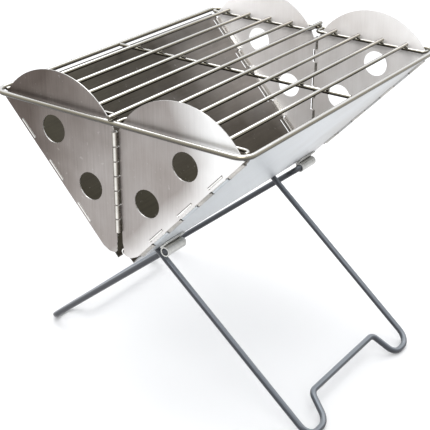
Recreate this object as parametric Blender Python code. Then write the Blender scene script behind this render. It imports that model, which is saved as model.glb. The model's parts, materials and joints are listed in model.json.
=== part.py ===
"""Folding camp grill: a V fire bowl of hinged sheet steel, two crossed wire legs and a wire grate.

Frame: X across the bowl, Y along it (the near end is at -Y), +Z up. The origin is on the ground
under the middle of the bowl. The grill is modelled opened out, standing on its legs.
"""

from math import atan2, cos, pi, radians, sin, sqrt, tan

import bmesh
import bpy
from mathutils import Matrix, Vector

# --- driving dimensions, in metres --------------------------------------------------------------
RIM_Z = 0.290             # height of the grate rim's wire centre above the ground
RIM_HALF_X = 0.1335       # grate rim, wire centre, half width
RIM_HALF_Y = 0.1705       # grate rim, wire centre, half length
RIM_CORNER = 0.012        # corner radius of the rim's centre line
RIM_R = 0.0025            # radius of the rim wire
BAR_R = 0.002             # radius of the long bars and the middle cross wire
BAR_COUNT = 9
BAR_PITCH = 2 * RIM_HALF_X / (BAR_COUNT + 1)
BAR_RISE = 0.0048         # bar centres above the rim's centre
BAR_HALF_Y = 0.157        # the shorter bars end inside the leaf arcs
SLOT_R = 0.00175          # radius of the slot wires
SLOT_RISE = 0.0002
SLOT_Y = 0.155            # where the slot wires run across, inside the leaf arcs
SLOT_X_IN = 0.0042
SLOT_X_OUT = 0.1275
SLOT_OUT_END_Y = 0.1618   # outer end of a slot wire, at the rim's rounded corner
SLOT_BEND = 0.005

SHEET = 0.001             # thickness of all sheet steel
TILT = radians(43.0)      # each side panel leans this far from upright when open
HINGE_DROP = 0.1255       # bottom hinge axis below the rim
FLANGE = 0.012            # bottom flange of a panel: hinge axis to panel sheet centre
FLANGE_START = 0.004      # the flange's inner edge, clear of the other panel's knuckles
PANEL_HEIGHT = 0.178
PANEL_HALF_Y = 0.157
KNUCKLE_R = 0.0032        # bottom hinge barrel
KNUCKLE_BORE = 0.0019
KNUCKLE_COUNT = 9
BOTTOM_PIN_R = 0.0016
BOTTOM_PIN_PROUD = 0.001
CORNER_Y = 0.1592         # corner hinge axis, just past the panel's end
CORNER_R = 0.0022
CORNER_BORE = 0.0013
CORNER_PIN_R = 0.001
CORNER_KNUCKLES = ((0.039, 0.060), (0.083, 0.105), (0.128, 0.149))
CORNER_PIN_SPAN = (0.014, 0.176)

LEAF_Y = 0.1635           # middle of the end leaves' sheet
LEAF_IN_X = 0.003         # inner edge of a leaf
LEAF_TIP_X = 0.0075       # start of the rounded tip beside the bottom hinge
LEAF_TIP_R = 0.0035
LEAF_NOTCH_Z = 0.012      # top of the notch over the bottom hinge, above its axis
LEAF_EDGE_GAP = 0.0006    # a leaf's slanted edge stops this far inside the panel's middle
LEAF_SHOULDER = 0.0045    # the slanted edge ends this far below the rim
ARC_START_GAP = 0.0015    # small step from the slanted edge to the arc
ARC_RISE = 0.030          # top of a leaf arc above the rim
ARC_R = 0.071
ARC_X = 0.066
HOLE_R = 0.013
HOLES = ((0.071, -0.024), (0.031, -0.068))     # leaf air holes: x, height from the rim

POST_OFFSET = 0.0022      # centre hinge axis outside the leaf sheet's middle
POST_R = 0.002
POST_BORE = 0.00115
POST_PIN_R = 0.0009
POST_PIN_PROUD = 0.0008   # a centre pin stands out of its barrel by this much
POST_LOW = 0.0225         # centre hinge barrel: lower and upper end above the bottom hinge axis
POST_HIGH = 0.1165
POST_KNUCKLES = 7
TURN_GAP = 0.0004         # between neighbouring hinge knuckles
TONGUE_LAP = 0.0007       # a knuckle's tongue reaches this far into its sheet
TONGUE_STEP = 0.0002      # and is this much shorter than the knuckle

LEG_R = 0.00325           # leg wire
LEG_HALF_Y = 0.100        # half the distance between a frame's two rods
LEG_SHIFT = {1: 0.012, -1: -0.006}   # the two frames lie beside each other along Y
FOOT_X = 0.166
FOOT_WIDTH = 0.030        # a foot's loop, from its rod inwards
FOOT_LEAN = 0.010         # the loop's inner side leans in by this much on its way up
FOOT_RAISE = 0.029        # the bar between the feet lies this far up the leg
FOOT_BENDS = (0.006, 0.014, 0.014, 0.008)   # pin, foot, foot, raised corner
LEG_PIN_LEN = 0.031       # the bent end of a rod that turns in its clip
CLIP_LEN = 0.026
CLIP_GAP = 0.0015         # between a rod and its clip
CLIP_WALL = 0.0013
CLIP_PLAY = 0.0003
CLIP_OUT = 0.019          # clip axis outward from the bottom hinge, in a folded panel's frame
CLIP_TAB = 0.0018         # thickness of a clip's welded back
CLIP_TAB_LOW = -0.0015    # the back's lower and upper edge from the clip's axis
CLIP_TAB_HIGH = 0.0105
WELD_GAP = 0.0003         # left between parts that are welded together in life

ARC_STEPS = 6             # points in each bend of a wire
LEAF_ARC_STEPS = 24
TIP_STEPS = 4
HOLE_SIDES = 24
ROUND_SIDES = 16
MERGE = 0.000002          # points closer than this are one point
SHEET_ANGLE = 25.0        # edges sharper than this stay sharp, in degrees
ROUND_ANGLE = 40.0

HINGE_Z = RIM_Z - HINGE_DROP
COLLECTION = "folding_camp_grill"

STAINLESS = ("brushed_stainless", (0.58, 0.56, 0.53, 1.0), 0.38, 1.0)
WIRE = ("polished_wire", (0.72, 0.70, 0.66, 1.0), 0.22, 1.0)
PIN = ("pin_steel", (0.50, 0.49, 0.47, 1.0), 0.30, 1.0)
LEG_COAT = ("dark_leg_coat", (0.055, 0.058, 0.062, 1.0), 0.45, 0.3)


# --- scene, materials and collections -----------------------------------------------------------
def clear_scene():
    for item in list(bpy.data.objects):
        bpy.data.objects.remove(item, do_unlink=True)


def collection(name):
    found = bpy.data.collections.get(name)
    if found is None:
        found = bpy.data.collections.new(name)
        bpy.context.scene.collection.children.link(found)
    return found


def paint(obj, look):
    """Gives the object its own Principled material."""
    kind, colour, roughness, metallic = look
    material = bpy.data.materials.new(obj.name + "_" + kind)
    material.use_nodes = True
    shader = material.node_tree.nodes["Principled BSDF"]
    shader.inputs["Base Color"].default_value = colour
    shader.inputs["Roughness"].default_value = roughness
    shader.inputs["Metallic"].default_value = metallic
    material.diffuse_color = colour
    obj.data.materials.clear()
    obj.data.materials.append(material)


def pivot(name, place):
    """An empty on a joint's axis, for the moving pieces to hang on."""
    empty = bpy.data.objects.new(name, None)
    empty.location = place
    collection(COLLECTION).objects.link(empty)
    return empty


def finish(obj, name, look, parent=None, angle=ROUND_ANGLE):
    """Names, paints and shades a sub-part; its own frame is kept relative to its parent."""
    obj.name = name
    obj.data.name = name
    paint(obj, look)
    obj.data.shade_smooth()
    obj.data.set_sharp_from_angle(angle=radians(angle))
    obj.parent = parent
    return obj


# --- shapes -------------------------------------------------------------------------------------
def to_mesh(curve_obj):
    """Turns a curve object into one closed mesh with welded caps."""
    bpy.context.view_layer.update()
    graph = bpy.context.evaluated_depsgraph_get()
    mesh = bpy.data.meshes.new_from_object(curve_obj.evaluated_get(graph))
    shape = bmesh.new()
    shape.from_mesh(mesh)
    bmesh.ops.remove_doubles(shape, verts=shape.verts, dist=MERGE)
    bmesh.ops.recalc_face_normals(shape, faces=shape.faces)
    shape.to_mesh(mesh)
    shape.free()
    solid = bpy.data.objects.new("solid", mesh)
    solid.matrix_world = curve_obj.matrix_world.copy()
    collection(COLLECTION).objects.link(solid)
    bpy.data.objects.remove(curve_obj, do_unlink=True)
    return solid


def poly_spline(curve, points, cyclic):
    spline = curve.splines.new("POLY")
    spline.points.add(len(points) - 1)
    for control, point in zip(spline.points, points):
        control.co = (*point, 1.0)
    spline.use_cyclic_u = cyclic


def plate(outlines, thickness, matrix):
    """A flat plate from a closed outline and its holes, in the matrix's local XY plane."""
    curve = bpy.data.curves.new("plate", "CURVE")
    curve.dimensions = "2D"
    curve.fill_mode = "BOTH"
    curve.extrude = thickness / 2
    for outline in outlines:
        poly_spline(curve, [(x, y, 0.0) for x, y in outline], True)
    obj = bpy.data.objects.new("plate", curve)
    collection(COLLECTION).objects.link(obj)
    obj.matrix_world = matrix
    return to_mesh(obj)


def wire(points, radius, cyclic=False):
    """A round wire along the points."""
    curve = bpy.data.curves.new("wire", "CURVE")
    curve.dimensions = "3D"
    curve.bevel_depth = radius
    curve.bevel_resolution = 2
    curve.use_fill_caps = True
    poly_spline(curve, points, cyclic)
    obj = bpy.data.objects.new("wire", curve)
    collection(COLLECTION).objects.link(obj)
    return to_mesh(obj)


def circle(x, y, radius, sides=ROUND_SIDES):
    return [(x + radius * cos(2 * pi * k / sides), y + radius * sin(2 * pi * k / sides)) for k in range(sides)]


def oblong(left, right, low, high):
    return [(left, low), (right, low), (right, high), (left, high)]


def tube(outer, bore, matrix, length):
    """A hollow cylinder along the matrix's local Z, centred on its origin."""
    return plate([circle(0, 0, outer), circle(0, 0, bore)], length, matrix)


def frame_at(origin, x_axis, y_axis):
    """The matrix of a local frame whose XY plane holds a plate's outline."""
    x_axis = Vector(x_axis).normalized()
    y_axis = Vector(y_axis).normalized()
    z_axis = x_axis.cross(y_axis)
    rotation = Matrix((x_axis, y_axis, z_axis)).transposed()
    return Matrix.Translation(Vector(origin)) @ rotation.to_4x4()


def union(target, others):
    """Welds the other solids into the target."""
    for other in others:
        join = target.modifiers.new("weld", "BOOLEAN")
        join.operation = "UNION"
        join.solver = "EXACT"
        join.object = other
    bpy.context.view_layer.update()
    graph = bpy.context.evaluated_depsgraph_get()
    mesh = bpy.data.meshes.new_from_object(target.evaluated_get(graph))
    target.modifiers.clear()
    target.data = mesh
    for other in others:
        bpy.data.objects.remove(other, do_unlink=True)
    return target


def rounded_path(corners, radii, cyclic=False):
    """The corners joined by straight runs, each inner corner rounded by an arc of its radius."""
    points = [Vector(corner) for corner in corners]
    count = len(points)
    path = []
    for index, corner in enumerate(points):
        if not cyclic and index in (0, count - 1):
            path.append(tuple(corner))
            continue
        radius = radii[index]
        before = (points[index - 1] - corner).normalized()
        after = (points[(index + 1) % count] - corner).normalized()
        half = before.angle(after) / 2
        centre = corner + (before + after).normalized() * (radius / sin(half))
        start = corner + before * (radius / tan(half))
        end = corner + after * (radius / tan(half))
        from_centre = start - centre
        to_centre = end - centre
        sweep = from_centre.angle(to_centre)
        for step in range(ARC_STEPS + 1):
            share = step / ARC_STEPS
            spoke = from_centre * sin((1 - share) * sweep) + to_centre * sin(share * sweep)
            path.append(tuple(centre + spoke / sin(sweep)))
    return path


# --- side panels --------------------------------------------------------------------------------
def panel_outline(side):
    """Cross-section of a panel folded upright: the flange, the bend and the tall side."""
    half = SHEET / 2
    corners = [(FLANGE_START, -half), (FLANGE + half, -half), (FLANGE + half, PANEL_HEIGHT)]
    corners += [(FLANGE - half, PANEL_HEIGHT), (FLANGE - half, half), (FLANGE_START, half)]
    return [(side * u, v) for u, v in corners]


def side_panel(side, name, hinge):
    """One side panel with its knuckles, modelled upright around the bottom hinge axis."""
    across = frame_at((0, 0, 0), (1, 0, 0), (0, 0, 1))
    panel = plate([panel_outline(side)], 2 * PANEL_HALF_Y, across)
    pieces = []
    pitch = 2 * PANEL_HALF_Y / KNUCKLE_COUNT
    for index in range(KNUCKLE_COUNT):
        if (index % 2 == 0) != (side > 0):
            continue
        middle = -PANEL_HALF_Y + pitch * (index + 0.5)
        place = frame_at((0, middle, 0), (1, 0, 0), (0, 0, 1))
        pieces.append(bottom_knuckle(side, place, pitch - TURN_GAP))
    for end in (-1, 1):
        for low, high in CORNER_KNUCKLES:
            pieces.append(corner_knuckle(side, end, low, high))
    union(panel, pieces)
    return finish(panel, name, STAINLESS, hinge, SHEET_ANGLE)


def bottom_knuckle(side, place, length):
    """A ring of the bottom hinge with the tongue that joins it to the flange."""
    half = SHEET / 2
    ring = tube(KNUCKLE_R, KNUCKLE_BORE, place, length)
    near = side * (KNUCKLE_BORE + KNUCKLE_R) / 2
    far = side * (FLANGE_START + TONGUE_LAP)
    tongue = plate([oblong(near, far, -half, half)], length - TONGUE_STEP, place)
    return union(ring, [tongue])


def corner_knuckle(side, end, low, high):
    """A ring of the corner hinge, around an upright axis at the panel's end edge."""
    half = SHEET / 2
    middle = (low + high) / 2
    place = frame_at((side * FLANGE, end * CORNER_Y, middle), (1, 0, 0), (0, 1, 0))
    ring = tube(CORNER_R, CORNER_BORE, place, high - low)
    near = -end * (CORNER_BORE + CORNER_R) / 2
    far = -end * (CORNER_Y - PANEL_HALF_Y + TONGUE_LAP)
    tongue = plate([oblong(-half, half, near, far)], high - low - TONGUE_STEP, place)
    return union(ring, [tongue])


def corner_pin(side, end, name, hinge):
    low, high = CORNER_PIN_SPAN
    place = (side * FLANGE, end * CORNER_Y)
    pin = wire([(*place, low), (*place, high)], CORNER_PIN_R)
    return finish(pin, name, PIN, hinge)


def leg_clip(side, end, name, hinge):
    """A rolled clip on the panel's outer face, just above the bottom edge, with its welded foot."""
    middle = LEG_SHIFT[side] + end * (LEG_HALF_Y + LEG_R + CLIP_GAP + CLIP_LEN / 2)
    bore = LEG_R + CLIP_PLAY
    outer = bore + CLIP_WALL
    place = frame_at((side * CLIP_OUT, middle, 0), (1, 0, 0), (0, 0, 1))
    ring = tube(outer, bore, place, CLIP_LEN)
    near = side * (FLANGE + SHEET / 2 + WELD_GAP - CLIP_OUT)
    far = near + side * CLIP_TAB
    back = plate([oblong(near, far, CLIP_TAB_LOW, CLIP_TAB_HIGH)], CLIP_LEN - TURN_GAP, place)
    return finish(union(ring, [back]), name, STAINLESS, hinge)


# --- end leaves and centre hinges ---------------------------------------------------------------
def edge_x(z):
    """A leaf's slanted edge, just inside the middle of the side panel's sheet; z from the hinge."""
    return FLANGE * cos(TILT) + (z + FLANGE * sin(TILT)) * tan(TILT) - LEAF_EDGE_GAP


def leaf_outline():
    """Outline of a leaf for +X: the notch, the tip, the slanted edge and the arc; z from the hinge."""
    outline = [(LEAF_IN_X, LEAF_NOTCH_Z), (LEAF_TIP_X - LEAF_TIP_R, LEAF_NOTCH_Z - LEAF_TIP_R)]
    for step in range(TIP_STEPS + 1):
        turn = pi + step * pi / 2 / TIP_STEPS
        outline.append((LEAF_TIP_X + LEAF_TIP_R * cos(turn), LEAF_TIP_R * (1 + sin(turn))))
    outline.append((edge_x(0.0) - LEAF_TIP_R, 0.0))
    outline.append((edge_x(LEAF_TIP_R), LEAF_TIP_R))
    shoulder = HINGE_DROP - LEAF_SHOULDER
    outline.append((edge_x(shoulder), shoulder))
    arc_z = HINGE_DROP + ARC_RISE - ARC_R
    reach = ARC_X - LEAF_IN_X
    first = atan2(shoulder - arc_z, edge_x(shoulder) - ARC_START_GAP - ARC_X)
    last = atan2(sqrt(ARC_R ** 2 - reach ** 2), -reach)
    for step in range(LEAF_ARC_STEPS + 1):
        turn = first + (last - first) * step / LEAF_ARC_STEPS
        outline.append((ARC_X + ARC_R * cos(turn), arc_z + ARC_R * sin(turn)))
    return outline


def end_leaf(side, end, name, hinge):
    """One leaf of an end wall, with its knuckles around the centre hinge, in the open place."""
    turn_y = -end * POST_OFFSET
    outline = [(side * x, z) for x, z in leaf_outline()]
    holes = [circle(side * x, z + HINGE_DROP, HOLE_R, HOLE_SIDES) for x, z in HOLES]
    flat = frame_at((0, turn_y, 0), (1, 0, 0), (0, 0, 1))
    leaf = plate([outline] + holes, SHEET, flat)
    pieces = []
    pitch = (POST_HIGH - POST_LOW) / POST_KNUCKLES
    for index in range(POST_KNUCKLES):
        if (index % 2 == 0) == (side > 0):
            continue
        middle = POST_LOW + pitch * (index + 0.5)
        place = frame_at((0, 0, middle), (1, 0, 0), (0, 1, 0))
        pieces.append(post_knuckle(side, turn_y, place, pitch - TURN_GAP))
    union(leaf, pieces)
    return finish(leaf, name, STAINLESS, hinge, SHEET_ANGLE)


def post_knuckle(side, turn_y, place, length):
    """A ring of the centre hinge with the tongue that joins it to the leaf."""
    half = SHEET / 2
    ring = tube(POST_R, POST_BORE, place, length)
    far = side * (LEAF_IN_X + TONGUE_LAP)
    tongue = plate([oblong(0, far, turn_y - half, turn_y + half)], length - TONGUE_STEP, place)
    return union(ring, [tongue])


def centre_pin(name, hinge):
    pin = wire([(0, 0, POST_LOW - POST_PIN_PROUD), (0, 0, POST_HIGH + POST_PIN_PROUD)], POST_PIN_R)
    return finish(pin, name, PIN, hinge)


# --- legs ---------------------------------------------------------------------------------------
def leg_frame(side, name, hinge, pivot_place):
    """A leg bent from one wire: two rods, two looped feet and the raised bar between them.

    side is the panel it hangs on; its feet stand on the other side of the bowl.
    """
    run = Vector((-side * FOOT_X - pivot_place.x, 0, LEG_R - pivot_place.z))
    length = run.length
    down = run.normalized()
    corners = []
    for end in (-1, 1):
        rod = Vector((0, LEG_SHIFT[side] + end * LEG_HALF_Y, 0))
        pin = rod + Vector((0, end * LEG_PIN_LEN, 0))
        loop = rod - Vector((0, end * FOOT_WIDTH, 0)) + down * length
        raised = loop - Vector((0, end * FOOT_LEAN, 0)) - down * FOOT_RAISE
        half = [pin, rod, rod + down * length, loop, raised]
        corners += half if end < 0 else half[::-1]
    bends = [0.0, *FOOT_BENDS]
    leg = wire(rounded_path(corners, bends + bends[::-1]), LEG_R)
    return finish(leg, name, LEG_COAT, hinge)


# --- grate --------------------------------------------------------------------------------------
def grate_rim(hinge):
    x, y = RIM_HALF_X, RIM_HALF_Y
    corners = [(-x, -y, 0), (x, -y, 0), (x, y, 0), (-x, y, 0)]
    rim = wire(rounded_path(corners, [RIM_CORNER] * 4, True), RIM_R, True)
    return finish(rim, "grate_rim", WIRE, hinge)


def grate_bar(number, hinge):
    """A long bar on top of the grate; the middle one runs over the rim."""
    x = (number - (BAR_COUNT + 1) / 2) * BAR_PITCH
    middle = number == (BAR_COUNT + 1) // 2
    half = RIM_HALF_Y + RIM_R if middle else BAR_HALF_Y
    bar = wire([(x, -half, BAR_RISE), (x, half, BAR_RISE)], BAR_R)
    return finish(bar, "grate_bar_%d" % number, WIRE, hinge)


def mid_wire(hinge):
    half = RIM_HALF_X - RIM_R - WELD_GAP
    bar = wire([(-half, 0, 0), (half, 0, 0)], BAR_R)
    return finish(bar, "grate_mid_wire", WIRE, hinge)


def slot_wire(side, end, name, hinge):
    """A U-shaped wire that frames, with the rim, the slot where a leaf's arc stands."""
    rim_y = RIM_HALF_Y - RIM_R - WELD_GAP
    corners = [(SLOT_X_IN, rim_y), (SLOT_X_IN, SLOT_Y), (SLOT_X_OUT, SLOT_Y), (SLOT_X_OUT, SLOT_OUT_END_Y)]
    path = [(side * x, end * y, SLOT_RISE) for x, y in corners]
    bar = wire(rounded_path(path, [SLOT_BEND] * 4), SLOT_R)
    return finish(bar, name, WIRE, hinge)


# --- assembly -----------------------------------------------------------------------------------
def bottom_pin():
    half = PANEL_HALF_Y + BOTTOM_PIN_PROUD
    pin = wire([(0, -half, 0), (0, half, 0)], BOTTOM_PIN_R)
    pin.location = (0, 0, HINGE_Z)
    return finish(pin, "bottom_hinge_pin", PIN)


def build_sides():
    for side, word in ((-1, "left"), (1, "right")):
        hinge = pivot(word + "_side_hinge", (0, 0, HINGE_Z))
        side_panel(side, word + "_side_panel", hinge)
        for end, place in ((-1, "near"), (1, "far")):
            corner_pin(side, end, place + "_" + word + "_corner_pin", hinge)
            leg_clip(side, end, place + "_" + word + "_leg_clip", hinge)
        leg_place = Matrix.Rotation(side * TILT, 3, "Y") @ Vector((side * CLIP_OUT, 0, 0))
        leg_hinge = pivot(word + "_leg_hinge", leg_place + Vector((0, 0, HINGE_Z)))
        leg_frame(side, word + "_leg_frame", leg_hinge, leg_hinge.location)
        hinge.rotation_euler = (0, side * TILT, 0)


def build_ends():
    for end, place in ((-1, "near"), (1, "far")):
        hinge = pivot(place + "_post_hinge", (0, end * (LEAF_Y + POST_OFFSET), HINGE_Z))
        centre_pin(place + "_centre_hinge_pin", hinge)
        for side, word in ((-1, "left"), (1, "right")):
            end_leaf(side, end, place + "_" + word + "_leaf", hinge)


def build_grate():
    lift = pivot("grate_lift", (0, 0, RIM_Z))
    grate_rim(lift)
    mid_wire(lift)
    for number in range(1, BAR_COUNT + 1):
        grate_bar(number, lift)
    for end, place in ((-1, "near"), (1, "far")):
        for side, word in ((-1, "left"), (1, "right")):
            slot_wire(side, end, "grate_slot_wire_" + place + "_" + word, lift)


clear_scene()
bottom_pin()
build_sides()
build_ends()
build_grate()
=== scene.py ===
"""Folding camp grill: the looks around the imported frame.

Metres, in the row frame: X across the bowl, Y along it, +Z up, the ground at z = 0.
Every sheet, wire and clip below is a finer copy of its CAD node, in the same place and on the
same body: welded and smoothed, with rounded edges. Added to them are the slits, knuckles and tabs
of the corner hinges, the knuckles of the centre hinges, the rings at the ends of the bottom hinge
and the weld beads of the grate.
"""

import json
from math import cos, pi, radians, sin, tan

import bmesh
import bpy
from mathutils import Matrix, Vector

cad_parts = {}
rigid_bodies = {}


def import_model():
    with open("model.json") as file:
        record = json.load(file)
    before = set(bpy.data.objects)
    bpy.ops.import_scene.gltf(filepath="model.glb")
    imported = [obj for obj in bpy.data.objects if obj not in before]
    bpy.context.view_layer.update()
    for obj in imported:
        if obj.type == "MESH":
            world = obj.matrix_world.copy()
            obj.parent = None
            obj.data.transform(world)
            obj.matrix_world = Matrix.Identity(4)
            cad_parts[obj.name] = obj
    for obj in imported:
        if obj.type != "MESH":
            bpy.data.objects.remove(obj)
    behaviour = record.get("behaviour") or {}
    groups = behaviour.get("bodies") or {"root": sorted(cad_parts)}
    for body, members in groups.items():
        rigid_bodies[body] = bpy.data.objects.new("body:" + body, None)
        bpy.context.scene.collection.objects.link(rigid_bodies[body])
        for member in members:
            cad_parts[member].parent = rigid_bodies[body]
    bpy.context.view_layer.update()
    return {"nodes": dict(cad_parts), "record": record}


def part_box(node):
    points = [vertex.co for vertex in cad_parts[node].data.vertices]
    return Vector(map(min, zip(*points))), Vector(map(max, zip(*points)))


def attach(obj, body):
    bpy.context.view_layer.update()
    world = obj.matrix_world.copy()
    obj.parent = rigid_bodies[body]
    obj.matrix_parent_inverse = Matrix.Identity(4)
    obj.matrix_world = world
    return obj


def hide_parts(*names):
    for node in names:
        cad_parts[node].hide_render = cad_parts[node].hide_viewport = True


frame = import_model()
nodes = frame["nodes"]
body_of_node = {n: body for body, names in frame["record"]["behaviour"]["bodies"].items() for n in names}

# --- driving values -----------------------------------------------------------------------------
CAMERA_AT = (0.5482, -0.8029, 0.614)
CAMERA_AZIMUTH = radians(35.0)
CAMERA_ELEVATION = radians(26.1)
CAMERA_ROLL = radians(0.36)
CAMERA_LENS = 90.7
CAMERA_NEAR = 0.01
SENSOR = 36.0

ENDS = ((-1, "near"), (1, "far"))
SIDES = ((-1, "left"), (1, "right"))

TILT = radians(43.0)         # each side panel leans this far from upright
RIM_Z = sum(corner.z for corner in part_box("grate_rim")) / 2
HINGE_Z = sum(corner.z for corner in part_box("bottom_hinge_pin")) / 2
BAR_Z = sum(corner.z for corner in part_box("grate_bar_1")) / 2
LEAF_Y = 0.1635              # middle of the end leaves' sheet
PANEL_END = 0.157            # the side panels reach this far along Y
FLANGE = 0.012               # from the bottom hinge out to the middle of a panel's sheet

# Corner hinges; the stretches of their knuckles run up the panel from the bottom hinge.
PANEL_KNUCKLES = ((0.039, 0.060), (0.083, 0.105), (0.128, 0.149))
LEAF_KNUCKLES = ((0.0175, 0.0375), (0.0615, 0.0815), (0.1065, 0.1265), (0.1505, 0.1705))
CORNER_PIN_R = 0.001
CORNER_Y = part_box("far_right_corner_pin")[1].y - CORNER_PIN_R
CORNER_R = 0.0022
PIN_BORE = 0.0012            # bore of the corner and centre knuckles
TONGUE_WIDTH = 0.0026        # the tongue that joins a leaf's knuckle to its sheet, across the knuckle
TONGUE_LENGTH = 0.0034       # and from the knuckle to the sheet
TONGUE_OUT = 0.0026          # the tongue's middle, past the hinge axis
TONGUE_IN = 0.0011           # and inward from it
SLIT_WIDTH = 0.0023
SLIT_DEPTH = 0.006           # of the cutter, well through the sheet
SLIT_IN = 0.0034             # the slits' middle, in from the sheet's edge
TAB_THICK = 0.0011           # a panel's tabs, which stand in the leaf's slits
TAB_PLAY = 0.0010            # a tab is this much shorter than its slit, and its web stops this short
TAB_REACH = 0.0022

# Centre hinges, measured up from the bottom hinge.
POST_LOW = 0.0225
POST_HIGH = 0.1165
POST_KNUCKLES = 7
POST_GAP = 0.0007            # left at each end of a knuckle
POST_R = 0.0026

# The rings at the ends of the bottom hinge: from and to along Y, and their radii.
RING_FROM = 0.1572
RING_TO = 0.1584
RING_R = 0.0032
RING_BORE = 0.0021

# The welds of the grate.
BARS = 9
MIDDLE_BAR = 5               # this bar meets the rim; the others meet the slot wires
RIM_R = 0.0025
SLOT_R = 0.00175
BEAD_DROP = 0.0022           # the beads' middle below the bars' centre line
BEAD_HALF = (0.0026, 0.0019, 0.0013)

RING_SIDES = 28              # of every ring and knuckle

# Edges that turn by more than the first angle are rounded, by more than the second look sharp.
SHEET_ANGLES = (radians(50.0), radians(32.0))
WIRE_ANGLES = (radians(30.0), radians(50.0))
KNUCKLE_ANGLE = radians(40.0)
EDGE_SEGMENTS = 2
LEAF_EDGE = 0.00022          # widths of the rounded edges
PANEL_EDGE = 0.0002
CLIP_EDGE = 0.0003
WIRE_EDGES = {"leg_frame": 0.0008, "rim": 0.0006, "bar": 0.0005, "mid_wire": 0.0005, "slot_wire": 0.00044}
SHEARED_LIMIT = 0.5          # faces whose cosine with the sheet's normal is smaller are sheared edges
MERGE = 0.000002             # points closer than this are one point
FLAT_ANGLE = radians(0.5)    # faces that turn by less than this are one face

FLOOR_SIZE = 16.0
FLOOR_DROP = 0.0004          # the floor lies just under the feet
BOWL_MIDDLE = (0, 0, 0.2)


# --- node graph helpers ---------------------------------------------------------------------------
class Graph:
    """A material's nodes, with short calls for the few kinds used here."""

    def __init__(self, name):
        self.material = bpy.data.materials.new(name)
        self.material.use_nodes = True
        self.nodes = self.material.node_tree.nodes
        self.links = self.material.node_tree.links
        self.shader = self.nodes["Principled BSDF"]

    def add(self, kind, **settings):
        node = self.nodes.new(kind)
        for key, value in settings.items():
            setattr(node, key, value)
        return node

    def put(self, source, target):
        self.links.new(source, target)

    def set(self, **values):
        """Plain values for the shader's inputs, named with _ for a space."""
        for key, value in values.items():
            self.shader.inputs[key.replace("_", " ")].default_value = value

    def place(self, scale=(1, 1, 1), turn=(0, 0, 0)):
        """The point's place in the row frame at rest, scaled for a pattern."""
        coords = self.add("ShaderNodeTexCoord")
        mapping = self.add("ShaderNodeMapping")
        mapping.inputs["Scale"].default_value = scale
        mapping.inputs["Rotation"].default_value = turn
        self.put(coords.outputs["Object"], mapping.inputs["Vector"])
        return mapping.outputs["Vector"]

    def axis(self, name):
        """One coordinate of the point's place in the row frame at rest."""
        node = self.add("ShaderNodeSeparateXYZ")
        self.put(self.place(), node.inputs["Vector"])
        return node.outputs[name]

    def noise(self, vector, scale, detail=3.0, rough=0.6):
        node = self.add("ShaderNodeTexNoise")
        node.inputs["Scale"].default_value = scale
        node.inputs["Detail"].default_value = detail
        node.inputs["Roughness"].default_value = rough
        self.put(vector, node.inputs["Vector"])
        return node.outputs["Fac"]

    def ramp(self, value, *stops):
        """A colour by value, from (value, colour) stops in rising order."""
        node = self.add("ShaderNodeValToRGB")
        bar = node.color_ramp
        while len(bar.elements) < len(stops):
            bar.elements.new(0.5)
        for element, (at, colour) in zip(bar.elements, stops):
            element.position = at
            element.color = (*colour, 1.0)
        self.put(value, node.inputs["Fac"])
        return node.outputs["Color"]

    def span(self, value, low, high, out_low=0.0, out_high=1.0):
        """The value, moved from the range low to high into the range out_low to out_high."""
        node = self.add("ShaderNodeMapRange")
        limits = {"From Min": low, "From Max": high, "To Min": out_low, "To Max": out_high}
        for key, number in limits.items():
            node.inputs[key].default_value = number
        self.put(value, node.inputs["Value"])
        return node.outputs["Result"]

    def spread(self, noise, out_low, out_high):
        """A noise's usual range, from 0.3 to 0.7, as a range of its own."""
        return self.span(noise, 0.3, 0.7, out_low, out_high)

    def math(self, operation, first, second=0.0):
        node = self.add("ShaderNodeMath", operation=operation)
        for socket, value in zip(node.inputs, (first, second)):
            if hasattr(value, "links"):
                self.put(value, socket)
            else:
                socket.default_value = value
        return node.outputs[0]

    def sum(self, first, second):
        return self.math("ADD", first, second)

    def mix(self, share, first, second, blend="MIX"):
        """Colours first and second mixed; any of the three may be a socket or a plain value."""
        node = self.add("ShaderNodeMix", data_type="RGBA", blend_type=blend)
        for socket, value in ((node.inputs[0], share), (node.inputs[6], first), (node.inputs[7], second)):
            if hasattr(value, "links"):
                self.put(value, socket)
            else:
                socket.default_value = value if isinstance(value, float) else (*value, 1.0)
        return node.outputs[2]

    def toward(self, direction, low, high, out_low=0.0, out_high=1.0):
        """How far a face looks along a direction, from the low cosine to the high one."""
        dot = self.add("ShaderNodeVectorMath", operation="DOT_PRODUCT")
        self.put(self.add("ShaderNodeTexCoord").outputs["Normal"], dot.inputs[0])
        dot.inputs[1].default_value = direction
        return self.span(dot.outputs["Value"], low, high, out_low, out_high)

    def facing(self, *stops):
        """A colour by how far the surface turns away from the view: the centre line of a wire first."""
        node = self.add("ShaderNodeLayerWeight")
        node.inputs["Blend"].default_value = 0.5
        return self.ramp(node.outputs["Facing"], *stops)

    def bump(self, height, strength, distance):
        node = self.add("ShaderNodeBump")
        node.inputs["Strength"].default_value = strength
        node.inputs["Distance"].default_value = distance
        self.put(height, node.inputs["Height"])
        self.put(node.outputs["Normal"], self.shader.inputs["Normal"])


# --- materials ------------------------------------------------------------------------------------
WHITE = (1.0, 1.0, 1.0)
UP = (0.0, 0.0, 1.0)
GRAIN_MIX = 0.16
CLOUD_MIX = 0.35
SPECK_MIX = 0.13
LEAF_GRAIN = (700, 40, 26)   # the brushing of the leaves runs up, leaning by the angle below
LEAF_GRAIN_LEAN = radians(28)


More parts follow.
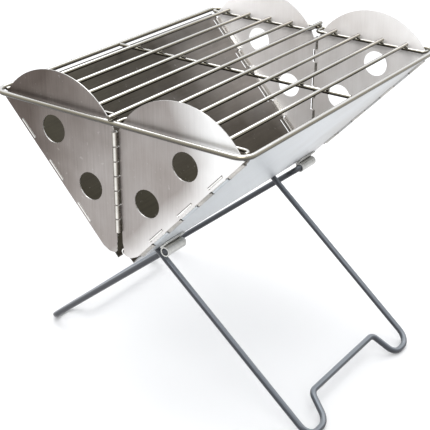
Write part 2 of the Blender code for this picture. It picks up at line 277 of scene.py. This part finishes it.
def steel(g, colour, grain_scale, grain_turn, roughness, metal):
    """Finishes a sheet material: parallel grain, clouding, bright specks and a bump."""
    grain = g.noise(g.place(grain_scale, grain_turn), 1.0, 5.0, 0.7)
    cloud = g.noise(g.place(), 14.0, 4.0)
    specks = g.noise(g.place(), 230.0, 2.0)
    grain_colour = g.ramp(grain, (0.30, (0.02, 0.02, 0.02)), (0.70, (0.98, 0.97, 0.95)))
    cloud_colour = g.ramp(cloud, (0.30, (0.25, 0.22, 0.20)), (0.70, (0.75, 0.76, 0.78)))
    colour = g.mix(GRAIN_MIX, colour, grain_colour, "SOFT_LIGHT")
    colour = g.mix(CLOUD_MIX, colour, cloud_colour, "SOFT_LIGHT")
    colour = g.mix(g.span(specks, 0.68, 0.76, 0.0, SPECK_MIX), colour, (0.85, 0.83, 0.80))
    g.put(colour, g.shader.inputs["Base Color"])
    rough = g.sum(g.spread(grain, -0.06, 0.08), g.spread(cloud, roughness, roughness + 0.08))
    g.put(rough, g.shader.inputs["Roughness"])
    g.set(Metallic=metal)
    g.bump(grain, 0.16, 0.0002)
    return g.material


def leaf_steel():
    """Near leaves: warm grey, browner at the upper left; a painted highlight makes the right almost
    white.
    """
    g = Graph("leaf_steel")
    across = g.axis("X")
    height = g.axis("Z")
    drift = g.noise(g.place(), 11.0)
    brown = g.sum(g.span(across, 0.02, -0.13), g.span(height, HINGE_Z, RIM_Z + 0.03, -0.4, 0.35))
    brown = g.sum(brown, g.spread(drift, -0.25, 0.25))
    grey, tan_brown, dark_brown = (0.32, 0.295, 0.28), (0.185, 0.162, 0.147), (0.10, 0.081, 0.07)
    colour = g.ramp(brown, (0.10, grey), (0.60, tan_brown), (1.0, dark_brown))
    # Painted highlight: the right of the near right leaf goes almost white, more so higher up.
    slope = g.sum(g.math("MULTIPLY", across, 0.8), g.math("MULTIPLY", height, 0.35))
    painted_shine = g.sum(slope, g.spread(drift, -0.008, 0.008))
    colour = g.mix(g.span(painted_shine, 0.148, 0.182), colour, (0.85, 0.85, 0.84))
    # A second painted highlight: a pale strip along the right leaf's edge by the panel.
    rise = g.math("MULTIPLY", g.math("SUBTRACT", height, HINGE_Z), tan(TILT))
    from_edge = g.sum(g.math("SUBTRACT", across, rise), g.spread(drift, -0.006, 0.006))
    colour = g.mix(g.span(from_edge, -0.012, 0.015, 0.0, 0.75), colour, (0.80, 0.79, 0.78))
    return steel(g, colour, LEAF_GRAIN, (0, LEAF_GRAIN_LEAN, 0), roughness=0.34, metal=0.85)


def far_leaf_steel():
    """Far leaves: painted light makes them pale; a little darker and warmer towards the middle hinge."""
    g = Graph("far_leaf_steel")
    drift = g.noise(g.place(), 11.0)
    share = g.sum(g.span(g.axis("X"), -0.13, 0.13), g.spread(drift, -0.2, 0.2))
    # Painted light: near-white colours, where the near leaves are grey.
    left, middle, right = (0.93, 0.91, 0.90), (0.74, 0.71, 0.69), (0.96, 0.95, 0.94)
    colour = g.ramp(share, (0.0, left), (0.5, middle), (1.0, right))
    return steel(g, colour, LEAF_GRAIN, (0, -LEAF_GRAIN_LEAN, 0), roughness=0.42, metal=0.35)


def painted_root_shade(g, colour):
    """Painted shade in the fold by the bottom hinge."""
    off_centre = g.math("ABSOLUTE", g.axis("X"))
    return g.mix(g.span(off_centre, 0.0125, 0.0085), colour, (0.06, 0.052, 0.04))


def panel_steel(name, side):
    """Side panels: olive-brown painted shade on the inner faces, greyer at the far end; pale outer faces.
    """
    g = Graph(name)
    drift = g.noise(g.place(), 9.0)
    share = g.sum(g.span(g.axis("Y"), -0.16, 0.16), g.spread(drift, -0.2, 0.2))
    # Painted shade: lower down, towards the bottom hinge, the inner faces go darker.
    low = g.sum(share, g.span(g.axis("Z"), HINGE_Z + 0.06, HINGE_Z, 0.0, -0.5))
    olive, brown, grey = (0.070, 0.063, 0.044), (0.085, 0.075, 0.062), (0.25, 0.235, 0.22)
    shaded_inside = g.ramp(low, (0.0, olive), (0.55, brown), (1.0, grey))
    near, middle, far = (0.50, 0.53, 0.55), (0.49, 0.51, 0.525), (0.39, 0.39, 0.385)
    outside = g.ramp(share, (0.0, near), (0.6, middle), (1.0, far))
    # The outer faces take the pale colours, the inner faces the painted shade.
    outward = g.toward((side * cos(TILT), 0.0, -sin(TILT)), -0.2, 0.2)
    colour = painted_root_shade(g, g.mix(outward, shaded_inside, outside))
    return steel(g, colour, (420, 9, 420), (0, 0, 0), roughness=0.36, metal=0.82)


def plain_steel(name, dark, light, scale, roughness):
    """Bare steel, patchy between a dark and a light grey."""
    g = Graph(name)
    colour = g.ramp(g.noise(g.place(), 40.0), (0.3, dark), (0.7, light))
    return steel(g, colour, scale, (0, 0, 0), roughness, metal=0.9)


def rolled_steel(name, dark, light):
    """Small rolled knuckles: a painted highlight down their length, painted shade where they turn away.
    """
    g = Graph(name)
    cloud = g.noise(g.place(), 90.0)
    colour = g.ramp(cloud, (0.3, dark), (0.7, light))
    # Painted highlight and shade: bright where the face is square to this direction, dark where it looks
    # along it.
    off_crest = g.math("ABSOLUTE", g.toward((0.94, 0.34, 0.0), -1.0, 1.0, -1.0, 1.0))
    painted_band = g.ramp(off_crest, (0.12, WHITE), (0.35, (0.62, 0.60, 0.56)), (0.65, (0.12, 0.10, 0.08)))
    g.put(g.mix(0.9, colour, painted_band, "MULTIPLY"), g.shader.inputs["Base Color"])
    g.put(g.spread(cloud, 0.22, 0.34), g.shader.inputs["Roughness"])
    g.set(Metallic=0.8)
    g.bump(cloud, 0.12, 0.0001)
    return g.material


def bright_wire():
    """Polished stainless wire with a straw-coloured heat tint; painted highlight on top, painted shade
    below.
    """
    g = Graph("grate_wire")
    tint = g.noise(g.place(), 24.0)
    fine = g.noise(g.place(), 700.0)
    straw, tinted, bare = (0.22, 0.19, 0.13), (0.40, 0.37, 0.31), (0.62, 0.60, 0.56)
    colour = g.ramp(tint, (0.30, straw), (0.50, tinted), (0.72, bare))
    colour = g.mix(g.span(fine, 0.60, 0.75, 0.0, 0.45), colour, (0.16, 0.13, 0.09))
    colour = g.mix(0.7, colour, (1.0, 1.0, 0.98))
    # Painted highlight along the top of each wire, painted shade on its underside.
    shaded_under = ((0.0, (0.05, 0.045, 0.04)), (0.28, (0.10, 0.09, 0.07)), (0.55, (0.34, 0.31, 0.23)))
    painted_crest = ((0.76, (0.58, 0.55, 0.48)), (0.88, WHITE))
    painted_band = g.ramp(g.toward(UP, -0.3, 1.0), *shaded_under, *painted_crest)
    colour = g.mix(0.95, colour, painted_band, "MULTIPLY")
    # Painted shade where the wire turns away from the view, leaving a bright centre line.
    rim = g.facing((0.70, WHITE), (0.95, (0.22, 0.20, 0.18)))
    colour = g.mix(0.9, colour, rim, "MULTIPLY")
    g.put(colour, g.shader.inputs["Base Color"])
    g.put(g.spread(fine, 0.14, 0.28), g.shader.inputs["Roughness"])
    g.set(Metallic=1.0)
    g.bump(fine, 0.10, 0.0001)
    return g.material


def dark_leg():
    """Gunmetal coating on the leg wire: satin, slightly pebbled, with a painted highlight along its top.
    """
    g = Graph("leg_coat")
    wide = g.noise(g.place(), 30.0)
    pebble = g.noise(g.place(), 1100.0, 2.0, 0.5)
    colour = g.ramp(wide, (0.3, (0.050, 0.058, 0.066)), (0.7, (0.090, 0.100, 0.112)))
    colour = g.mix(g.span(pebble, 0.58, 0.75, 0.0, 0.35), colour, (0.16, 0.17, 0.19))
    colour = g.mix(0.6, colour, (0.42, 0.45, 0.49))
    # Painted highlight along the top of the rods, painted shade on their sides and underside.
    shaded_under = ((0.35, (0.08, 0.08, 0.09)), (0.64, (0.13, 0.13, 0.14)))
    painted_crest = ((0.88, (0.36, 0.37, 0.39)), (1.0, WHITE))
    painted_band = g.ramp(g.toward(UP, -0.5, 0.80), *shaded_under, *painted_crest)
    g.put(g.mix(0.95, colour, painted_band, "MULTIPLY"), g.shader.inputs["Base Color"])
    g.put(g.spread(wide, 0.28, 0.40), g.shader.inputs["Roughness"])
    g.set(Metallic=0.6, Coat_Weight=0.3, Coat_Roughness=0.18)
    g.bump(pebble, 0.15, 0.0002)
    return g.material


LEAF = leaf_steel()
FAR_LEAF_LIT = far_leaf_steel()
PANELS = {word: panel_steel(word + "_panel_steel", side) for side, word in SIDES}
CLIP = plain_steel("clip_steel", (0.36, 0.36, 0.34), (0.56, 0.56, 0.54), (60, 500, 60), 0.26)
KNUCKLE = rolled_steel("knuckle_steel", (0.546, 0.532, 0.504), (0.78, 0.76, 0.72))
CORNER = plain_steel("corner_steel", (0.32, 0.31, 0.29), (0.58, 0.56, 0.53), (90, 90, 300), 0.26)
# Near-white steel for the sheared edges, the tabs and the end rings: a painted highlight.
EDGE = plain_steel("sheared_edge_highlight", (0.70, 0.69, 0.66), (0.92, 0.91, 0.89), (300, 300, 300), 0.22)
PIN = plain_steel("pin_steel", (0.10, 0.09, 0.08), (0.24, 0.22, 0.20), (200, 200, 200), 0.3)
WIRE = bright_wire()
LEG = dark_leg()


def look_of(name):
    """A node's material, and the slot of the part that it fills."""
    if "leaf" in name:
        return FAR_LEAF_LIT if "far" in name else LEAF, "sheet_steel"
    if "side_panel" in name:
        return PANELS[name.split("_")[0]], "sheet_steel"
    if "clip" in name:
        return CLIP, "sheet_steel"
    if "grate" in name:
        return WIRE, "grate_wire"
    if "leg_frame" in name:
        return LEG, "leg_coat"
    return PIN, "pin_steel"


# --- shape helpers --------------------------------------------------------------------------------
def link(obj):
    bpy.context.scene.collection.objects.link(obj)
    return obj


def mesh_object(name, shape, material):
    """A new object from a bmesh, which is used up."""
    mesh = bpy.data.meshes.new(name)
    shape.to_mesh(mesh)
    shape.free()
    mesh.materials.append(material)
    return link(bpy.data.objects.new(name, mesh))


def moulded(shape, at, turn, size):
    """A unit shape, scaled to a size, turned and moved."""
    matrix = Matrix.Translation(at) @ turn.to_4x4() @ Matrix.Diagonal((*size, 1.0))
    bmesh.ops.transform(shape, matrix=matrix, verts=shape.verts)
    return shape


def box_shape(centre, size, axes):
    """A box as a bmesh: its sides run along the three axes."""
    shape = bmesh.new()
    bmesh.ops.create_cube(shape, size=1.0)
    turn = Matrix([Vector(axis).normalized() for axis in axes]).transposed()
    return moulded(shape, centre, turn, size)


def ring_shape(start, end, outer, bore):
    """A hollow cylinder between two points."""
    shape = bmesh.new()
    start, end = Vector(start), Vector(end)
    turn = (end - start).to_track_quat("Z", "Y").to_matrix()
    angles = [2 * pi * index / RING_SIDES for index in range(RING_SIDES)]
    loops = []
    for at, radius in ((start, outer), (end, outer), (end, bore), (start, bore)):
        spokes = [Vector((cos(angle), sin(angle), 0)) * radius for angle in angles]
        loops.append([shape.verts.new(at + turn @ spoke) for spoke in spokes])
    for index, one in enumerate(loops):
        two = loops[(index + 1) % len(loops)]
        for first in range(RING_SIDES):
            second = (first + 1) % RING_SIDES
            shape.faces.new((one[first], one[second], two[second], two[first]))
    return shape


def weld(shapes, name, material):
    """Several bmeshes as one object, with normals outward."""
    total = bmesh.new()
    for shape in shapes:
        mesh = bpy.data.meshes.new("part")
        bmesh.ops.recalc_face_normals(shape, faces=shape.faces)
        shape.to_mesh(mesh)
        shape.free()
        total.from_mesh(mesh)
        bpy.data.meshes.remove(mesh)
    return mesh_object(name, total, material)


def cut(obj, cutter):
    """Takes the cutter's shape out of an object, and removes the cutter."""
    tool = obj.modifiers.new("cut", "BOOLEAN")
    tool.operation = "DIFFERENCE"
    tool.solver = "EXACT"
    tool.object = cutter
    bpy.context.view_layer.update()
    mesh = bpy.data.meshes.new_from_object(obj.evaluated_get(bpy.context.evaluated_depsgraph_get()))
    obj.modifiers.clear()
    obj.data = mesh
    bpy.data.objects.remove(cutter, do_unlink=True)


def copy_of(node, name):
    """A welded copy of a CAD node's mesh as a piece of its own."""
    shape = bmesh.new()
    shape.from_mesh(nodes[node].data)
    bmesh.ops.remove_doubles(shape, verts=shape.verts, dist=MERGE)
    bmesh.ops.dissolve_limit(shape, angle_limit=FLAT_ANGLE, verts=shape.verts, edges=shape.edges)
    bmesh.ops.recalc_face_normals(shape, faces=shape.faces)
    return mesh_object(name, shape, look_of(node)[0])


def shade(obj, sharp_from=pi):
    """Smooth shading, except over edges that turn by more than an angle."""
    obj.data.shade_smooth()
    obj.data.set_sharp_from_angle(angle=sharp_from)


def settle(obj, node, edge, angles):
    """Shading and rounded edges for a copy, and the place of the CAD node it stands for."""
    round_from, sharp_from = angles
    shade(obj, sharp_from)
    if edge:
        rounded = obj.modifiers.new("edges", "BEVEL")
        rounded.width = edge
        rounded.segments = EDGE_SEGMENTS
        rounded.limit_method = "ANGLE"
        rounded.angle_limit = round_from
    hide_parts(node)
    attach(obj, body_of_node[node])


def level(obj):
    """Keeps the flats of a sheet flat in the shading, beside its rounded edges."""
    flat = obj.modifiers.new("flat", "WEIGHTED_NORMAL")
    flat.weight = 100
    flat.keep_sharp = True


def extra(obj, body):
    """The body of a piece that has no CAD node of its own."""
    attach(obj, body)


# --- sheets ---------------------------------------------------------------------------------------
def panel_point(side, u, v, y):
    """A point given in a side panel's own frame: outward from the hinge, up the panel, along it."""
    x = u * cos(TILT) + v * sin(TILT)
    return Vector((side * x, y, HINGE_Z - u * sin(TILT) + v * cos(TILT)))


def panel_axes(side):
    """A side panel's own directions: inward from its sheet, up it, and along it."""
    foot = panel_point(side, 0, 0, 0)
    inward = (foot - panel_point(side, 1, 0, 0)).normalized()
    up = (panel_point(side, 0, 1, 0) - foot).normalized()
    return inward, up, inward.cross(up)


def slit_cutter(side, spans, y, inset, across):
    """The narrow slits beside the corner hinge, cut where the other sheet's knuckles pass."""
    up = panel_axes(side)[1]
    axes = (across, up, across.cross(up))
    shapes = []
    for low, high in spans:
        middle = panel_point(side, FLANGE, (low + high) / 2, y) + inset
        shapes.append(box_shape(middle, (SLIT_WIDTH, high - low, SLIT_DEPTH), axes))
    return weld(shapes, "cutter", PIN)


def bright_edges(obj, flat):
    """Gives the sheared edges of a sheet, which stand square to its flat faces, a painted highlight."""
    obj.data.materials.append(EDGE)
    for face in obj.data.polygons:
        if abs(face.normal.dot(flat)) < SHEARED_LIMIT:
            face.material_index = 1


def corner_knuckles(side, end):
    """A leaf's knuckles: rings on the corner hinge, each with the tongue that joins it to the sheet."""
    inward = panel_axes(side)[0]
    shapes = []
    for low, high in LEAF_KNUCKLES:
        start = panel_point(side, FLANGE, low, end * CORNER_Y)
        stop = panel_point(side, FLANGE, high, end * CORNER_Y)
        shapes.append(ring_shape(start, stop, CORNER_R, PIN_BORE))
        middle = (start + stop) / 2 + Vector((0, end * TONGUE_OUT, 0)) + inward * TONGUE_IN
        up = (stop - start).normalized()
        size = (TONGUE_WIDTH, (stop - start).length, TONGUE_LENGTH)
        shapes.append(box_shape(middle, size, (inward, up, inward.cross(up))))
    return shapes


def leaf(side, end, node):
    """A leaf with its slits and sheared edges, and its knuckles on the corner hinge."""
    inward = panel_axes(side)[0]
    sheet = copy_of(node, node + "_sheet")
    cut(sheet, slit_cutter(side, PANEL_KNUCKLES, end * LEAF_Y, inward * SLIT_IN, inward))
    bright_edges(sheet, Vector((0, 1, 0)))
    settle(sheet, node, LEAF_EDGE, SHEET_ANGLES)
    level(sheet)
    knuckles = weld(corner_knuckles(side, end), node + "_corner_knuckles", CORNER)
    shade(knuckles, KNUCKLE_ANGLE)
    extra(knuckles, body_of_node[node])


def corner_tabs(side, end):
    """A panel's tabs at one end: a tip in each slit of the leaf, and the web that holds it."""
    axes = panel_axes(side)
    inward = axes[0]
    web_end = LEAF_Y - TAB_PLAY
    web_y = end * (web_end + PANEL_END) / 2
    shapes = []
    for low, high in PANEL_KNUCKLES:
        height = (low + high) / 2
        length = high - low - TAB_PLAY
        tip = panel_point(side, FLANGE, height, end * LEAF_Y) + inward * SLIT_IN
        shapes.append(box_shape(tip, (TAB_THICK, length, TAB_REACH), axes))
        web = panel_point(side, FLANGE, height, web_y) + inward * SLIT_IN / 2
        shapes.append(box_shape(web, (SLIT_IN, length, web_end - PANEL_END), axes))
    return shapes


def panel(side, node):
    """A side panel with its slits, and the tabs at its ends that stand in the leaves' slits."""
    sheet = copy_of(node, node + "_sheet")
    for end, _ in ENDS:
        inset = Vector((0, -end * SLIT_IN, 0))
        cut(sheet, slit_cutter(side, LEAF_KNUCKLES, end * PANEL_END, inset, Vector((0, 1, 0))))
    settle(sheet, node, PANEL_EDGE, SHEET_ANGLES)
    level(sheet)
    shapes = [shape for end, _ in ENDS for shape in corner_tabs(side, end)]
    # The tabs take the near-white edge steel, a painted highlight.
    extra(weld(shapes, node + "_corner_tabs", EDGE), body_of_node[node])


def sheets():
    """The side panels and the leaves."""
    for side, word in SIDES:
        panel(side, word + "_side_panel")
        for end, place in ENDS:
            leaf(side, end, place + "_" + word + "_leaf")


def centre_knuckles():
    """The rolled knuckles on each centre hinge, turn about with the two leaves, with dark gaps."""
    pitch = (POST_HIGH - POST_LOW) / POST_KNUCKLES
    for _, place in ENDS:
        low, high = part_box(place + "_centre_hinge_pin")
        x, y = (low.x + high.x) / 2, (low.y + high.y) / 2
        for first, (_, word) in enumerate(SIDES):
            rings = []
            for index in range(first, POST_KNUCKLES, 2):
                start = HINGE_Z + POST_LOW + index * pitch + POST_GAP
                stop = start + pitch - 2 * POST_GAP
                rings.append(ring_shape((x, y, start), (x, y, stop), POST_R, PIN_BORE))
            node = place + "_" + word + "_leaf"
            knuckles = weld(rings, node + "_centre_knuckles", KNUCKLE)
            shade(knuckles, KNUCKLE_ANGLE)
            extra(knuckles, body_of_node[node])


def bottom_rings():
    """The pale rolled rim seen at each end of the bottom hinge."""
    rings = []
    for end, _ in ENDS:
        start, stop = (0, end * RING_FROM, HINGE_Z), (0, end * RING_TO, HINGE_Z)
        rings.append(ring_shape(start, stop, RING_R, RING_BORE))
    # The rings take the near-white edge steel, a painted highlight.
    extra(weld(rings, "bottom_hinge_end_rings", EDGE), "base")


# --- wires, pins and clips ------------------------------------------------------------------------
def plain_pieces():
    """Wires, pins and clips: copies of their nodes, welded and shaded round."""
    for node in nodes:
        if "leaf" in node or "side_panel" in node:
            continue
        piece = copy_of(node, node + "_look")
        if "clip" in node:
            settle(piece, node, CLIP_EDGE, SHEET_ANGLES)
        else:
            width = next((width for word, width in WIRE_EDGES.items() if word in node), 0.0)
            settle(piece, node, width, WIRE_ANGLES)


def bead(at):
    """A flattened weld bead between a bar and the wire that it crosses."""
    shape = bmesh.new()
    bmesh.ops.create_uvsphere(shape, u_segments=12, v_segments=8, radius=1.0)
    along_bar = Vector((0, 1, 0)).to_track_quat("X", "Z").to_matrix()
    return moulded(shape, at, along_bar, BEAD_HALF)


def weld_beads():
    """The welds of each bar: on the middle wire, and at both ends on a slot wire or the rim."""
    slot_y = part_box("grate_slot_wire_far_left")[0].y + SLOT_R
    rim_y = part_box("grate_rim")[1].y - RIM_R
    shapes = []
    for number in range(1, BARS + 1):
        low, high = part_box("grate_bar_%d" % number)
        end_y = rim_y if number == MIDDLE_BAR else slot_y
        for y in (-end_y, 0.0, end_y):
            shapes.append(bead(Vector(((low.x + high.x) / 2, y, BAR_Z - BEAD_DROP))))
    beads = weld(shapes, "grate_weld_beads", WIRE)
    shade(beads)
    extra(beads, "grate")


# --- stage, light and camera ----------------------------------------------------------------------
def floor():
    """A wide pale floor, as stage and not as part of the object."""
    bpy.ops.mesh.primitive_plane_add(size=FLOOR_SIZE, location=(0, 0, -FLOOR_DROP))
    plane = bpy.context.object
    plane.name = "floor"
    g = Graph("pale_floor")
    g.set(Base_Color=(0.97, 0.97, 0.97, 1.0), Roughness=0.9)
    plane.data.materials.append(g.material)


def soft_light(name, at, aim, size, power):
    """A square area light, aimed at a point."""
    light = bpy.data.lights.new(name, "AREA")
    light.shape = "SQUARE"
    light.size = size
    light.energy = power
    obj = bpy.data.objects.new(name, light)
    obj.location = at
    obj.rotation_euler = (Vector(aim) - Vector(at)).to_track_quat("-Z", "Y").to_euler()
    return link(obj)


def lights():
    """An even pale surround, two soft lights, and a small one for the far leaves alone."""
    world = bpy.data.worlds.new("studio")
    world.use_nodes = True
    back = world.node_tree.nodes["Background"]
    back.inputs["Color"].default_value = (0.97, 0.98, 1.0, 1.0)
    back.inputs["Strength"].default_value = 0.95
    bpy.context.scene.world = world
    soft_light("key", (0.9, -1.3, 1.6), BOWL_MIDDLE, size=1.3, power=15)
    soft_light("top", (-0.3, 0.4, 1.9), BOWL_MIDDLE, size=1.6, power=16)
    fill = soft_light("far_wall_fill", (0.1, -0.6, 0.8), (0, LEAF_Y, 0.25), size=0.3, power=4)
    walls = bpy.data.collections.new("far_walls")
    for obj in bpy.data.objects:
        if obj.name.startswith("far_") and obj.name.endswith("leaf_sheet"):
            walls.objects.link(obj)
    fill.light_linking.receiver_collection = walls


def camera():
    """The view that the looks are made for, from its azimuth, elevation and roll."""
    side = Vector((cos(CAMERA_AZIMUTH), sin(CAMERA_AZIMUTH), 0))
    flat = cos(CAMERA_ELEVATION)
    ahead = Vector((-sin(CAMERA_AZIMUTH) * flat, cos(CAMERA_AZIMUTH) * flat, -sin(CAMERA_ELEVATION)))
    up = side.cross(ahead)
    right = side * cos(CAMERA_ROLL) + up * sin(CAMERA_ROLL)
    turn = Matrix((right, right.cross(ahead), -ahead)).transposed()
    data = bpy.data.cameras.new("photo_view")
    data.lens = CAMERA_LENS
    data.sensor_width = SENSOR
    data.clip_start = CAMERA_NEAR
    obj = link(bpy.data.objects.new("photo_view", data))
    obj.matrix_world = Matrix.Translation(CAMERA_AT) @ turn.to_4x4()
    bpy.context.scene.camera = obj


sheets()
centre_knuckles()
bottom_rings()
plain_pieces()
weld_beads()
floor()
lights()
camera()
bpy.context.scene.view_settings.view_transform = "Standard"
